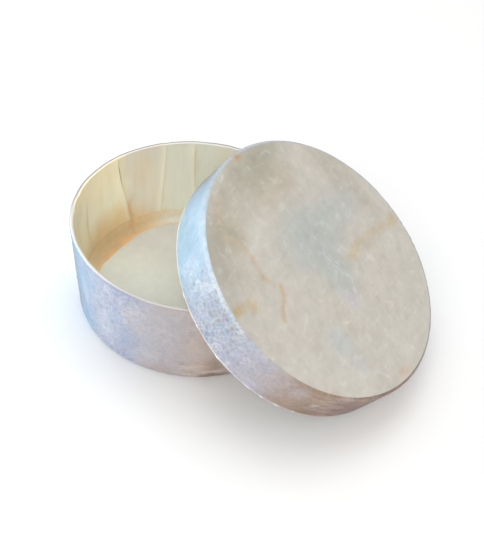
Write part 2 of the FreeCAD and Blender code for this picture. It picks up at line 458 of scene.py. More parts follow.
# Patches on the bowl's outer wall: degrees round and millimetres up, half sizes, tint, strength.
BOWL_DABS = [
    ((268, 52), (9, 8), SLATE, 0.5),
    # The four white dabs on the front are painted highlights.
    ((254, 20), (8, 12), FROST, 0.3),
    ((238, 30), (4, 12), FROST, 0.3),
    ((230, 14), (4, 9), FROST, 0.3),
    ((262, 30), (7, 8), FROST, 0.1),
    ((262, 4), (8, 4), colour(182, 174, 208), 0.5),
    ((282, 6), (12, 5), colour(196, 176, 176), 0.5),
    # The dark browns at 307 and 311 degrees, near where the lid stands, are partly painted shade.
    ((307, 2.5), (8, 2), UMBER, 0.85),
    ((298, 8), (8, 4), colour(214, 194, 184), 0.7),
    ((300, 24), (8, 7), colour(202, 186, 176), 0.5),
    ((311, 14), (6, 9), CLAY, 0.5),
    ((307, 8.5), (6, 5), colour(158, 124, 94), 0.5),
    ((20, 22), (14, 10), CLAY, 0.35),
    ((52, 34), (9, 14), FROST, 0.4),
    ((96, 18), (12, 9), ROSE, 0.4),
    ((140, 30), (9, 14), UMBER, 0.25),
    ((172, 20), (9, 12), FROST, 0.35),
]
SKIRT_DABS = [
    # The bright blue dab here is a painted highlight of the window light; the two white dabs after it are
    # painted highlights.
    ((205, 16), (7, 7), colour(184, 214, 240), 0.6),
    ((228, 12), (8, 9), FROST, 0.2),
    ((236, 20), (6, 6), FROST, 0.2),
    ((64, 12), (12, 9), FROST, 0.4),
    ((110, 16), (12, 6), ROSE, 0.5),
    ((20, 8), (10, 6), CLAY, 0.4),
    ((260, 9), (9, 8), colour(170, 173, 190), 0.5),
    ((275, 4), (8, 3), colour(196, 192, 208), 0.6),
    # The dark brown here, low at the front right where the skirt faces down, is painted shade.
    ((315, 15), (12, 10), colour(132, 66, 30), 0.7),
    ((319, 22), (4, 4), colour(206, 142, 108), 0.6),
    ((292, 17), (5, 6), colour(188, 172, 176), 0.5),
    ((302.5, 14.5), (3, 4), colour(212, 192, 180), 0.8),
    ((309, 24), (5, 3), colour(216, 190, 172), 0.6),
    ((303, 20), (5, 5), colour(184, 158, 126), 0.8),
    ((174, 24), (5, 3), colour(206, 160, 110), 0.8),
]


def crackle(points, seed, spacing):
    """Facets of crackled nacre: heights, a random number for each facet, and how near a crack is."""
    flat = points.reshape(-1, 3)
    random = np.random.RandomState(seed)
    count = max(8, round(len(flat) * (spacing / CRACKLE_CELL) ** 2))
    seeds = flat[random.choice(len(flat), count, replace=False)]
    seeds = seeds + random.uniform(-0.3, 0.3, seeds.shape) * spacing
    tilts = random.normal(0, CRACKLE_SLOPE, seeds.shape)
    shades = random.uniform(0, 1, count)
    distance = (flat ** 2).sum(1)[:, None] + (seeds ** 2).sum(1) - 2 * flat @ seeds.T
    nearest = distance.argmin(axis=1)
    pair = np.sqrt(np.maximum(np.partition(distance, 1, axis=1)[:, :2], 0))
    heights = ((flat - seeds[nearest]) * tilts[nearest]).sum(1)
    crack = np.exp(-(pair[:, 1] - pair[:, 0]) / CRACK_WIDTH)
    shape = points.shape[:-1]
    return heights.reshape(shape), shades[nearest].reshape(shape), crack.reshape(shape)


def nacre_relief(points, paint, calm, seed, spacing):
    """Relief and marks of crackled nacre on its broad paint; calm is 0 where the sheet must end true."""
    azimuth = azimuth_of(points)
    heights, facet, crack = crackle(points, seed, spacing)
    vivid = 0.2 + 0.8 * sector(azimuth, 247, 21) + 0.6 * sector(azimuth, 62, 30)
    vivid = vivid * (0.5 + 0.5 * smooth_step(-0.3, 0.3, cloud(points, 14, seed + 3)))
    heights = (heights + 0.08 * MM * crack) * vivid
    heights += 0.14 * MM * cloud(points, 11, seed + 5)
    paint = paint * (1 + (0.08 + 0.12 * vivid)[..., None] * (facet - 0.5)[..., None])
    # The white along the cracks is partly the white between the facets and partly a painted highlight; the
    # white given to the brightest facets is painted glints.
    paint = coated(paint,
                   (FROST, vivid * (0.55 * crack + 0.2 * smooth_step(0.9, 0.98, facet))),
                   (SLATE, vivid * 0.25 * smooth_step(0.10, 0.04, facet)),
                   (BLUISH, vivid * 0.4 * bell(facet - 0.3, 0.1)),
                   (VIOLET, vivid * 0.4 * bell(facet - 0.6, 0.1)))
    return heights * calm, {"paint": np.clip(paint, 0, 0.95), "vivid": vivid}


def edge_calm(shape, lengths):
    """0 on the border of a grid of vertices and 1 further in, from the lengths of the grid's sides."""
    gaps = [(0.5 - np.abs(np.linspace(-0.5, 0.5, count))) * length for count, length in zip(shape, lengths)]
    return smooth_step(0, CALM_EDGE, np.minimum.outer(*gaps))


def bowl_paint(points):
    azimuth = azimuth_of(points)
    paint = ring_tone(azimuth + 9 * cloud(points, 20, 41), BOWL_TONES)
    paint = dabbed(paint, points, BOWL_DABS, 43, wall_offsets)
    streaks = cloud(points * (0.6, 0.6, 4), 8, 47)
    # Low on the front right, near where the lid stands, the brown streaks are partly the shell's own and
    # partly painted shade and warm reflection; the pale streaks there are its own.
    low = smooth_step(20 * MM, 3 * MM, points[..., 2]) * sector(azimuth, 303, 20)
    paint = tinted(paint, RUST, low * smooth_step(-0.05, 0.4, streaks) * 0.65)
    paint = tinted(paint, FROST, low * smooth_step(0.1, 0.5, -streaks) * 0.3)
    return paint * (0.91 + 0.09 * cloud(points, 13, 53))[..., None]


def skirt_paint(points):
    azimuth = azimuth_of(points)
    paint = ring_tone(azimuth + 6 * cloud(points, 14, 61), SKIRT_TONES)
    paint = dabbed(paint, points, SKIRT_DABS, 63, wall_offsets)
    streaks = cloud(points * (0.6, 0.6, 3), 7, 67)
    under = sector(azimuth, 318, 26)
    height = points[..., 2]
    uneven = 0.75 + 0.5 * cloud(points, 7, 71)
    gleam = sector(azimuth, 210, 30) * bell(height - LID_DEPTH + 3.2 * MM, 1.8 * MM)
    shoulder = smooth_step(LID_DEPTH - 1.5 * SHOULDER, LID_DEPTH - 0.5 * SHOULDER, height)
    # Under the front right the brown and light streaks are partly the shell's own and partly painted shade.
    # The gleam and the white on the shoulder round 240 degrees are painted highlights; the grey on the
    # shoulder round 190 is painted shade, the dark brown round 340 a painted shadow under the top's edge, and
    # the shoulder round 60 is darker.
    paint = coated(paint,
                   (UMBER, under * smooth_step(0.0, 0.35, streaks) * 0.85),
                   (BLUSH, under * smooth_step(0.1, 0.4, -streaks) * 0.45),
                   (FROST, 0.3 * gleam * uneven),
                   (FROST, shoulder * 0.7 * sector(azimuth, 240, 24) * uneven),
                   (COOL, shoulder * 0.8 * sector(azimuth, 190, 22)),
                   (BARK, shoulder * 0.75 * sector(azimuth, 340, 24)),
                   (ASH, shoulder * 0.85 * sector(azimuth, 60, 55)))
    return paint * (0.92 + 0.08 * cloud(points, 12, 73))[..., None]


def worn_shoulder(azimuth):
    """How far the lid's top edge is worn down below its true corner."""
    return 0.15 * MM + 0.3 * MM * sector(azimuth, 202, 26)


def crackled_ring(prefix, profile, points_of, paint_of, seed, wear=None, matrix=None):
    """The outer sheets of the bowl or of the lid's skirt, one mesh for each CAD node.

    wear(azimuth) gives how far the sheets are worn down where they turn to face up.
    """
    steps = np.linalg.norm(np.diff(np.array(profile)[:, :2], axis=0), axis=1)
    names = nodes_named(prefix)
    starts = seam_azimuths(names, points_of)
    half_gap = SEAM_GAP / 2 / RIM_RADIUS
    for number, (name, start) in enumerate(zip(names, starts)):
        end = start + (starts[(number + 1) % len(starts)] - start) % math.tau
        points, normals, _ = sheet_grid(profile, start + half_gap, end - half_gap, FINE_STEP)
        calm = edge_calm(points.shape[:2], ((end - start) * RIM_RADIUS, steps.sum()))
        heights, marks = nacre_relief(points, paint_of(points), calm, seed + number * 31, FINE_STEP)
        if wear:
            heights = heights - wear(azimuth_of(points)) * smooth_step(0.3, 1.0, normals[..., 2])
        mesh = sheet_mesh(points, normals, heights, marks, VENEER)
        finished(name, mesh, NACRE, matrix)


# ---- smooth lining

OLIVE = colour(229, 231, 217)
BEIGE = colour(234, 221, 200)
PARCHMENT = colour(229, 223, 207)
CREAM = colour(254, 243, 208)
STRAW = colour(253, 249, 222)
TAN = colour(236, 207, 158)
ORANGE = colour(226, 172, 114)
AMBER = colour(220, 184, 134)
SHADE = colour(206, 194, 158)
IVORY = colour(203, 203, 195)
SAGE = colour(214, 216, 198)
STONE = colour(192, 194, 190)
GREY = colour(190, 190, 188)
MIST = colour(216, 224, 220)

# Colours round the lining: degrees, colour. The cream round 163 to 200 degrees, on the left side inside, is
# partly a painted glow of the window light passing through the thin wall.
LINING_TONES = [(85, OLIVE), (132, OLIVE), (142, PARCHMENT), (157, PARCHMENT), (163, CREAM), (200, CREAM),
                (230, BEIGE), (300, OLIVE), (20, BEIGE)]
LINING_DABS = [
    # The three straw dabs high on the left are a painted glow of light through the wall.
    ((168, 33), (11, 11), STRAW, 0.9),
    ((194, 36), (5, 16), STRAW, 0.7),
    ((183, 30), (7, 12), STRAW, 0.9),
    ((190.5, 26), (1.8, 18), SHADE, 0.4),
    ((174, 7), (30, 18), TAN, 0.75),
    ((172, 6), (26, 11), AMBER, 0.4),
    ((160, 8), (12, 12), TAN, 0.5),
    ((156.5, 11), (2.4, 12), ORANGE, 0.85),
    ((148, 7), (12, 5), TAN, 0.7),
    ((132, 7), (12, 3), TAN, 0.4),
    ((120, 40), (3, 9), SHADE, 0.25),
    ((150, 40), (7, 12), TAN, 0.25),
    ((201, 44), (5, 6), OLIVE, 0.5),
]
# How far each seam of the bowl's lining leans between its ends, in degrees, and how strongly the sheet
# under a lap is shaded.
BOWL_SEAMS = [(1.5, 0.3), (-2.0, 0.3), (1.0, 0.3), (-1.2, 0.25), (3.2, 0.7), (1.0, 0.3), (-2.0, 0.3),
              (2.0, 0.3), (-1.0, 0.3)]
LID_SEAMS = [(1.0, 0.3), (-2.0, 0.4), (1.5, 0.3), (-1.0, 0.4), (2.0, 0.3)]


def lining_paint(points):
    azimuth = azimuth_of(points)
    paint = ring_tone(azimuth, LINING_TONES)
    paint = dabbed(paint, points, LINING_DABS, 81, wall_offsets)
    growth = cloud(points * (1, 1, 0.35), 9, 83)
    paint = tinted(paint, TAN, 0.16 * smooth_step(0, 0.6, growth))
    return paint * (1 + 0.045 * cloud(points, 12, 85))[..., None]


def lining_ring(prefix, profile, points_of, seams, foot, seed, matrix=None):
    """The lining sheets inside a wall, each lapped over the one before it along a leaning seam.

    The relief fades out below the height foot.
    """
    names = nodes_named(prefix)
    starts = seam_azimuths(names, points_of)
    profile = np.array(profile)
    rise = (profile[:, 1] - profile[:, 1].min()) / np.ptp(profile[:, 1])

    def seam(number):
        lean, _ = seams[number % len(seams)]
        turns = math.tau * (number // len(starts))
        return starts[number % len(starts)] + math.radians(lean) * -np.cos(math.pi * rise) + turns

    for number, name in enumerate(names):
        start, end = seam(number), seam(number + 1)
        points, normals, azimuths = sheet_grid(profile, start, end, SMOOTH_STEP)
        from_start = (azimuths - start) * profile[:, 0]
        to_end = (end - azimuths) * profile[:, 0]
        free = smooth_step(foot - 1 * MM, foot + 3 * MM, points[..., 2])
        lap = 0.24 * MM * smooth_step(6 * MM, 0.3 * MM, from_start)
        wave = 0.16 * MM * cloud(points * (1, 1, 0.5), 12, seed + number)
        fade = smooth_step(0, 2 * MM, np.minimum(from_start, to_end))
        shade = seams[(number + 1) % len(seams)][1] * (0.8 + 0.5 * cloud(points, 12, seed + 60))
        paint = tinted(lining_paint(points), SHADE, shade * np.exp(-to_end / (2.0 * MM)))
        # A light strip beside each lapping edge is a painted highlight.
        paint = tinted(paint, STRAW, 0.4 * bell(from_start - 1.0 * MM, 1.6 * MM))
        mesh = sheet_mesh(points, normals, (lap + wave * fade) * free, {"paint": paint}, VENEER)
        finished(name, mesh, LINING, matrix)


# ---- materials

def new_material(name, **sockets):
    """A material with one Principled shader, whose plain numbers are set on its own sockets."""
    material = bpy.data.materials.new(name)
    material.use_nodes = True
    for socket, number in sockets.items():
        shader_of(material).inputs[socket.replace("_", " ")].default_value = number
    return material, material.node_tree


def shader_of(material):
    return material.node_tree.nodes["Principled BSDF"]


def feed(tree, socket, given):
    """Gives an input a number or a colour, or links it to another node's output."""
    if isinstance(given, bpy.types.NodeSocket):
        tree.links.new(given, socket)
    else:
        socket.default_value = given


def add_node(tree, kind, **inputs):
    made = tree.nodes.new("ShaderNode" + kind)
    for key, given in inputs.items():
        feed(tree, made.inputs[key.replace("_", " ")], given)
    return made


def mark(tree, name, output="Color"):
    """A mark painted on the vertices."""
    made = add_node(tree, "Attribute")
    made.attribute_name = name
    return made.outputs[output]


def ramp(tree, factor, stops):
    """A grey ramp between two stops, each a place and a grey."""
    made = add_node(tree, "ValToRGB", Fac=factor)
    for element, (place, grey) in zip(made.color_ramp.elements, stops):
        element.position = place
        element.color = (grey, grey, grey, 1)
    return made.outputs["Color"]


def stretched_place(tree, stretch=None, turn=(0, 0, 0)):
    """Places in the row frame, stretched along turned axes if asked."""
    place = add_node(tree, "TexCoord").outputs["Object"]
    if stretch is None:
        return place
    return add_node(tree, "Mapping", Vector=place, Scale=stretch, Rotation=turn).outputs["Vector"]


def grain(tree, scale, detail=4, stretch=None, turn=(0, 0, 0)):
    """Noise with scale features to the metre."""
    place = stretched_place(tree, stretch, turn)
    return add_node(tree, "TexNoise", Vector=place, Scale=scale, Detail=detail).outputs["Fac"]


def chips(tree, scale):
    """Random grey for each cell of a fine mosaic, scale cells to the metre."""
    cells = add_node(tree, "TexVoronoi", Vector=stretched_place(tree), Scale=scale)
    return add_node(tree, "SeparateColor", Color=cells.outputs["Color"]).outputs["Red"]


def mixed(tree, mode, share, first, second):
    """Two colours mixed by a share; each of the three may be a socket."""
    made = add_node(tree, "Mix")
    made.data_type = "RGBA"
    made.blend_type = mode
    for number, given in ((0, share), (6, first), (7, second)):
        feed(tree, made.inputs[number], given)
    return made.outputs[2]


def spread(tree, socket, low, high):
    """A factor of 0 to 1 spread over another range."""
    return add_node(tree, "MapRange", Value=socket, To_Min=low, To_Max=high).outputs["Result"]


def surfaced(material, body, rough, bumps=()):
    """Gives the material its colour, its roughness and a chain of bumps, each a socket and metres."""
    tree, shader = material.node_tree, shader_of(material)
    tree.links.new(body, shader.inputs["Base Color"])
    tree.links.new(rough, shader.inputs["Roughness"])
    inputs = {}
    for socket, distance in bumps:
        bump = add_node(tree, "Bump", Height=socket, Distance=distance, Strength=1.0, **inputs)
        inputs = {"Normal": bump.outputs["Normal"]}
        tree.links.new(inputs["Normal"], shader.inputs["Normal"])
    return material


def nacre_material():
    """Crackled nacre under clear lacquer: painted facets, chips of uneven light, duller where less vivid."""
    material, tree = new_material("crackled_nacre", Coat_Weight=0.3, Coat_Roughness=0.15, IOR=1.53,
                                  Thin_Film_Thickness=420.0, Thin_Film_IOR=1.62)
    paint = mark(tree, "paint")
    vivid = mark(tree, "vivid", "Fac")
    fine = grain(tree, 900)
    small = chips(tree, 900)
    body = mixed(tree, "MULTIPLY", vivid, paint, ramp(tree, small, [(0.0, 0.88), (1.0, 1.0)]))
    body = mixed(tree, "MULTIPLY", 0.6, body, ramp(tree, fine, [(0.3, 0.9), (0.7, 1.0)]))
    rough = spread(tree, grain(tree, 260), spread(tree, vivid, 0.60, 0.22), spread(tree, vivid, 0.80, 0.42))
    bumps = [(grain(tree, 420, 3), 0.00012), (small, 0.00002), (fine, 0.00003)]
    return surfaced(material, body, rough, bumps)


def lining_material():
    """Smooth cream shell with faint upright growth lines and a satin surface."""
    material, tree = new_material("smooth_lining", Coat_Weight=0.1, Coat_Roughness=0.35, IOR=1.5)
    paint = mark(tree, "paint")
    lines = grain(tree, 260, 5, (1, 1, 0.14))
    body = mixed(tree, "MULTIPLY", 0.5, paint, ramp(tree, lines, [(0.3, 0.9), (0.65, 1.0)]))
    bumps = [(lines, 0.00006), (grain(tree, 1400), 0.00002)]
    return surfaced(material, body, spread(tree, grain(tree, 200), 0.4, 0.6), bumps)


DARK_FLAKE = (0.6, 0.58, 0.52, 1)


def top_material():
    """Polished shell of the lid's top: painted patches, faint flakes laid crosswise and fine veins."""
    material, tree = new_material("polished_top", Coat_Weight=0.15, Coat_Roughness=0.25, IOR=1.5)
    paint = mark(tree, "paint")
    flakes = grain(tree, 330, 3, (1, 0.45, 1), (0, 0, 0.6))
    crossing = grain(tree, 280, 3, (0.4, 1, 1), (0, 0, 0.35))
    veins = grain(tree, 170, 8, (1, 0.6, 1), (0, 0, 1.1))
    body = mixed(tree, "MULTIPLY", 0.6, paint, ramp(tree, veins, [(0.35, 0.9), (0.6, 1.0)]))
    for streak in (flakes, crossing):
        light = ramp(tree, streak, [(0.58, 0.0), (0.74, 0.14)])
        dark = ramp(tree, streak, [(0.26, 0.14), (0.42, 0.0)])
        body = mixed(tree, "MIX", light, body, (*FROST, 1))
        body = mixed(tree, "MULTIPLY", dark, body, DARK_FLAKE)
    bumps = [(flakes, 0.00010), (crossing, 0.00008), (grain(tree, 1200), 0.00002)]
    return surfaced(material, body, spread(tree, veins, 0.3, 0.5), bumps)


def painted_material(name, grain_scale, rough, bump, **sockets):
    """A painted resin or ground edge with grain in its tone, gloss and surface."""
    material, tree = new_material(name, **sockets)
    paint = mark(tree, "paint")
    fine = grain(tree, grain_scale)
    body = mixed(tree, "MULTIPLY", 0.7, paint, ramp(tree, fine, [(0.3, 0.86), (0.7, 1.0)]))
    gloss = spread(tree, grain(tree, grain_scale / 3), rough - 0.08, rough + 0.1)
    return surfaced(material, body, gloss, [(grain(tree, grain_scale / 2), bump), (fine, bump / 3)])


def plain_material(name, tone, rough, grain_scale):
    """One colour with a little grain in its tone and gloss."""
    material, tree = new_material(name)
    fine = grain(tree, grain_scale)
    body = mixed(tree, "MULTIPLY", 0.3, (*tone, 1), ramp(tree, fine, [(0.3, 0.97), (0.7, 1.0)]))
    return surfaced(material, body, spread(tree, fine, rough - 0.05, rough + 0.05))


NACRE = nacre_material()
LINING = lining_material()
TOP = top_material()
RESIN = painted_material("amber_resin", 500, 0.4, 0.00008, Coat_Weight=0.2, Coat_Roughness=0.25)
EDGE = painted_material("ground_edge", 1100, 0.4, 0.00005, Coat_Weight=0.2, Coat_Roughness=0.2)
CORE = plain_material("core_resin", colour(214, 202, 170), 0.5, 700)


# ---- the bowl

def bowl_radius(height):
    """Outside radius of the bowl's leaning wall at a height."""
    return BASE_RADIUS + (RIM_RADIUS - BASE_RADIUS) * (height - CORNER_RADIUS) / (BOWL_HEIGHT - CORNER_RADIUS)


def build_bowl_outside():
    profile = arc((FOOT_RADIUS, CORNER_RADIUS), CORNER_RADIUS, -90, 0, FINE_STEP)
    wall = line((BASE_RADIUS, CORNER_RADIUS), (bowl_radius(CAPPED_HEIGHT), CAPPED_HEIGHT), FINE_STEP)
    crackled_ring("bowl_outer_shell_", profile + wall[1:], node_points, bowl_paint, 100)


def build_bowl_lining():
    top = (bowl_radius(CAPPED_HEIGHT) - WALL, CAPPED_HEIGHT)
    wall = line(top, (BASE_RADIUS - WALL, CORNER_RADIUS), SMOOTH_STEP)
    corner = arc((FOOT_RADIUS, CORNER_RADIUS), CORNER_RADIUS - WALL, 0, -90, SMOOTH_STEP)
    corner = [(r, z, -out, -up) for r, z, out, up in corner]
    lining_ring("bowl_lining_shell_", wall + corner[1:], node_points, BOWL_SEAMS, BEAD_TOP, 300)


def floor_relief(points, gaps):
    lift = 0.1 * MM * cloud(points, 16, 401) * smooth_step(0, 2 * MM, gaps)
    near = smooth_step(20 * MM, -15 * MM, points[:, 1])
    paint = coated(IVORY,
                   (SAGE, 0.3 + 0.6 * cloud(points, 26, 402)),
                   (STONE, 0.1 + 0.5 * cloud(points, 18, 403)),
                   (GREY, 0.5 * (1 - near)),
                   (MIST, 0.6 * near))
    return lift, {"paint": paint * (1 + 0.03 * cloud(points, 7, 404))[..., None]}


def underside_relief(points, gaps):
    paint = tinted(PEARL, MAUVE, 0.4 + 0.8 * cloud(points, 25, 431))
    lift, marks = nacre_relief(points, paint, smooth_step(0, 2 * MM, gaps), 430, PLAIN_STEP)
    return -np.abs(lift), marks


def build_bowl_floor():
    floor = plate_mesh(circle(FOOT_RADIUS), WALL, VENEER, floor_relief, PLAIN_STEP)
    finished("bowl_floor_shell", floor, LINING)
    base = plate_mesh(circle(FOOT_RADIUS), 0, -VENEER, underside_relief, PLAIN_STEP)
    finished("bowl_underside_shell", base, NACRE)


BEAD_CLEARANCE = 0.03 * MM  # gap between the bead and the lining
BEAD_TOE = 0.15 * MM        # thickness of the bead where it ends on the floor


def build_bead():
    """Cove of resin round the inside corner, wider and more amber where more of it ran. Across its middle,
    and more where it ran, its paint is darkened as painted shade.
    """
    angles = all_round(RING_COLUMNS)
    places = turned(1, 0, angles)
    size = BEAD_TOP - WALL
    azimuth = np.degrees(angles)
    climb = size * (0.95 + 0.12 * cloud(places, 250, 501))
    reach = size * (0.72 + 0.5 * sector(azimuth, 178, 24) + 0.16 * cloud(places, 200, 502))
    bows = np.linspace(0, math.pi / 2, 11)
    sections = []
    for up, across in zip(climb, reach):
        wall_radius = bowl_radius(WALL + up) - WALL - BEAD_CLEARANCE
        radii = wall_radius - across * (1 - np.cos(bows))
        heights = WALL + up * (1 - np.sin(bows)) + BEAD_TOE * np.sin(bows)
        back = [(wall_radius - across, WALL), (FOOT_RADIUS, WALL), (BASE_RADIUS - WALL, CORNER_RADIUS)]
        sections.append(list(zip(radii, heights)) + back)
    loops = turned(*np.array(sections).T.swapaxes(1, 2), angles[:, None])
    down = np.concatenate([bows, np.full(3, math.pi / 2)]) / (math.pi / 2)
    ran = sector(azimuth, 168, 27)[:, None]
    broken = smooth_step(-0.35, 0.35, cloud(loops, 6, 503))
    # The amber is the resin's own colour; the darkening on this line and in the two lines below is painted
    # shade.
    paint = tinted(lining_paint(loops), AMBER, (0.1 + 0.7 * down) * ran) * (1 - 0.1 * ran)[..., None]
    cove_shade = smooth_step(0.02, 0.5, down) * smooth_step(1.1, 0.8, down)
    paint = paint * (1 - (0.15 + 0.08 * ran) * cove_shade)[..., None]
    paint = tinted(paint, ORANGE, bell(down - 0.92, 0.2) * broken * (0.06 + 0.7 * ran))
    paint = tinted(paint, SHADE, bell(down - 1.0, 0.08) * (0.6 - 0.3 * ran))
    finished("bowl_corner_bead", ring_mesh(loops, {"paint": paint}), RESIN)


def edge_loops(outer, inner, seat, edge, seed):
    """Loops of a strip on the edge of a wall, with rounded corners and a slightly uneven line.

    Returns the loops and the share across the strip, 0 at its inner face and 1 at its outer face.
    """
    side = math.copysign(1, edge - seat)
    rounding = 0.45 * MM
    bends = [(1 - math.cos(bow), 1 - math.sin(bow)) for bow in np.linspace(0, math.pi / 2, 5)]
    section = [(inner, seat)]
    section += [(inner + rounding * cut, edge - side * rounding * drop) for cut, drop in bends]
    section += [(outer - rounding * cut, edge - side * rounding * drop) for drop, cut in bends]
    section += [(outer, seat)]
    radius, height = np.array(section).T
    loops = turned(radius, height, all_round(RING_COLUMNS * 2)[:, None])
    free = np.abs(loops[..., 2:] - seat) / abs(edge - seat)
    dips = np.minimum(cloud(loops, 6, seed), 0)[..., None] * 0.45 * MM
    loops[..., 2:] += side * free * dips
    swell = 0.25 * MM * cloud(loops, 8, seed + 4)[..., None] * free
    loops[..., :2] *= 1 + swell / outer
    return loops, np.broadcast_to((radius - inner) / (outer - inner), loops.shape[:2])


EDGE_WHITE = colour(240, 240, 240)
CHIP_AND_GLINT_WHITE = colour(246, 246, 250)
RIM_SHADE_LINE = colour(104, 100, 108)


def build_bowl_rim():
    loops, across = edge_loops(RIM_RADIUS, bowl_radius(CAPPED_HEIGHT) - WALL, CAPPED_HEIGHT, BOWL_HEIGHT, 520)
    azimuth = azimuth_of(loops)
    nick = sector(azimuth, 196.5, 1.6) * smooth_step(CAPPED_HEIGHT, BOWL_HEIGHT, loops[..., 2])
    loops[..., 2] -= 0.5 * MM * nick
    behind = smooth_step(115, 85, np.abs(turn_from(azimuth, 105)))
    # The inner face is darker towards the front.
    hidden = (0.62 + 0.38 * behind)[..., None]
    crown = smooth_step(0.40, 0.66, across) * smooth_step(0.96, 0.84, across)
    paint = np.where((across > 0.5)[..., None], bowl_paint(loops), lining_paint(loops) * hidden)
    # The white crown is the edge's own colour, laid brighter round azimuth 200 as a painted highlight where
    # the window lamp falls; the dark line on the outer rounding at the back is a painted shade outline.
    bright = 0.38 + 0.52 * smooth_step(75, 35, np.abs(turn_from(azimuth, 200)))
    paint = tinted(paint, EDGE_WHITE, crown * bright)
    paint = tinted(paint, RIM_SHADE_LINE, behind * smooth_step(0.42, 0.62, across) * 0.95)
    finished("bowl_rim_band", ring_mesh(loops, {"paint": paint}), EDGE)


# Chips along the lower edge of the lid's skirt, small bumps painted bright partly as chipped shell and partly
# as painted glints: degrees round, half width in millimetres.
LID_CHIPS = [(234, 1.2), (247, 0.8), (261, 1.5), (277, 2.0), (284, 1.2), (291, 1.8), (299, 1.0)]


def build_lid_rim():
    loops, across = edge_loops(LID_RADIUS, LID_RADIUS - WALL, LID_BAND, 0.0, 540)
    azimuth = azimuth_of(loops)
    paint = tinted(EDGE_WHITE, skirt_paint(loops), 0.35 + 0.35 * smooth_step(250, 300, azimuth))
    for place, half_width in LID_CHIPS:
        chip = bell(np.radians(turn_from(azimuth, place)) * LID_RADIUS / MM, half_width)
        paint = tinted(paint, CHIP_AND_GLINT_WHITE, chip * 0.9)
        loops[..., :2] *= 1 + (0.3 * MM / LID_RADIUS) * (chip * (across > 0.5))[..., None]
    finished("lid_rim_band", ring_mesh(loops, {"paint": paint}), EDGE, LID)


# ---- the lid

# Patches on the lid's top: millimetres along and across the lean, half sizes, tint, strength.
TOP_DABS = [
    ((-50, 14), (20, 20), SAND, 0.8),
    ((-60, 14), (12, 34), colour(158, 156, 140), 0.7),
    ((-54, -18), (14, 22), DUSK, 0.5),
    ((-45, -33), (10, 10), colour(158, 149, 126), 0.6),
    ((-40, -46), (22, 12), DUSK, 0.5),
    ((-20, 56), (30, 12), DUSK, 0.6),
    ((-34, -18), (9, 9), PALE, 0.45),
    ((-14, 8), (19, 28), COOL, 0.85),
    ((-11, 40), (12, 16), COOL, 0.55),
    ((8, 2), (14, 12), COOL, 0.75),
    ((22, -3), (7, 6), colour(188, 184, 196), 0.5),
    ((13, 44), (5, 20), SAND, 0.6),
    ((17, 61), (4, 5), TAWNY, 0.5),
    ((9, 22), (3.5, 9), TAWNY, 0.4),
    ((34, 20), (22, 26), GREIGE, 0.4),
    ((28, -32), (9, 6), colour(180, 188, 192), 0.6),
    ((42, -34), (6, 5), colour(182, 190, 194), 0.5),
    ((44, -44), (18, 14), PALE, 0.6),
    ((24, -56), (14, 8), PALE, 0.6),
    ((56, 6), (10, 24), PALE, 0.4),
    ((26, -18), (2, 2), TAWNY, 0.6),
    ((64, -14), (3, 6), colour(200, 172, 152), 0.5),
    ((38, -57), (8, 3), colour(196, 170, 156), 0.4),
    ((-18, -55), (4, 4), TAWNY, 0.6),
    ((-21, -63), (4, 5), TAWNY, 0.9),
    ((-69.2, 9.5), (2.4, 5), BURNT, 0.9),
]
# Lines in the top, where sheets meet or lie scratched: points, half width, tint, strength.
TOP_LINES = [
    ([(-62, -22), (-49, -37), (-40, -33), (-31, -32)], 1.8, TAWNY, 0.4),
    ([(-31, -33), (-26, -35.5), (-21, -37)], 1.5, BURNT, 0.5),
    ([(-21, -37), (-13, -34)], 1.2, TAWNY, 0.5),
    ([(-13, -32), (-9, -36), (-2, -47)], 1.5, BURNT, 0.55),
    ([(17, 61), (11, 44), (8, 27), (10, 16)], 1.8, TAWNY, 0.3),
    ([(-5, 6), (-3, 3), (1, 4)], 0.5, FROST, 0.25),
    ([(3, 3.5), (8, 4), (11, 3.4)], 0.45, FROST, 0.25),
    ([(12, 5.5), (15, 6.5), (17, 5)], 0.6, FROST, 0.3),
    ([(19, 3), (21, 1)], 0.6, FROST, 0.25),
    ([(25, -20), (27, -16)], 0.7, FROST, 0.4),
    ([(6, -34), (10, -42)], 0.7, FROST, 0.25),
    ([(52, -28), (58, -25)], 0.8, FROST, 0.25),
    ([(38, 12), (42, 15)], 0.7, FROST, 0.25),
]


def top_paint(points):
    paint = tinted(GREIGE, PALE, 0.15 + 0.5 * cloud(points, 16, 701))
    paint = dabbed(paint, points, TOP_DABS, 703, plate_offsets)
    margin = SHEET_RADIUS - np.hypot(points[..., 0], points[..., 1])
    # Greyer along the top's edge round azimuth 216, where it meets the shoulder: painted shade.
    leaning = sector(azimuth_of(points), 216, 34)
    paint = tinted(paint, ASH, 0.65 * leaning * smooth_step(17 * MM, 4 * MM, margin))
    ragged = points[..., :2] + wander(points, 7, 706) * 1.2 * MM
    broken = 0.75 + 0.6 * cloud(points, 5, 709)
    for path, half_width, tint, strength in TOP_LINES:
        gap = line_distance(ragged, np.array(path) * MM)
        paint = tinted(paint, tint, strength * broken * bell(gap, half_width * MM))
    brushed = cloud(points @ np.array([[1, 0.6, 0], [-0.6, 1, 0], [0, 0, 1]]) * (1, 2.6, 1), 7, 711)
    return paint * (1 + 0.06 * brushed + 0.04 * cloud(points, 4, 713))[..., None]


def top_relief(points, gaps):
    rim = SHEET_RADIUS - np.hypot(points[:, 0], points[:, 1])
    free = smooth_step(0, 2.5 * MM, rim)
    lift = 0.18 * MM * cloud(points, 15, 620) + 0.05 * MM * cloud(points * (1, 2.5, 1), 5, 640)
    lift = lift * free - 0.04 * MM * np.exp(-gaps / (0.5 * MM)) * free
    lift -= worn_shoulder(azimuth_of(points)) * smooth_step(4 * MM, 0, rim)
    return lift, {"paint": top_paint(points)}


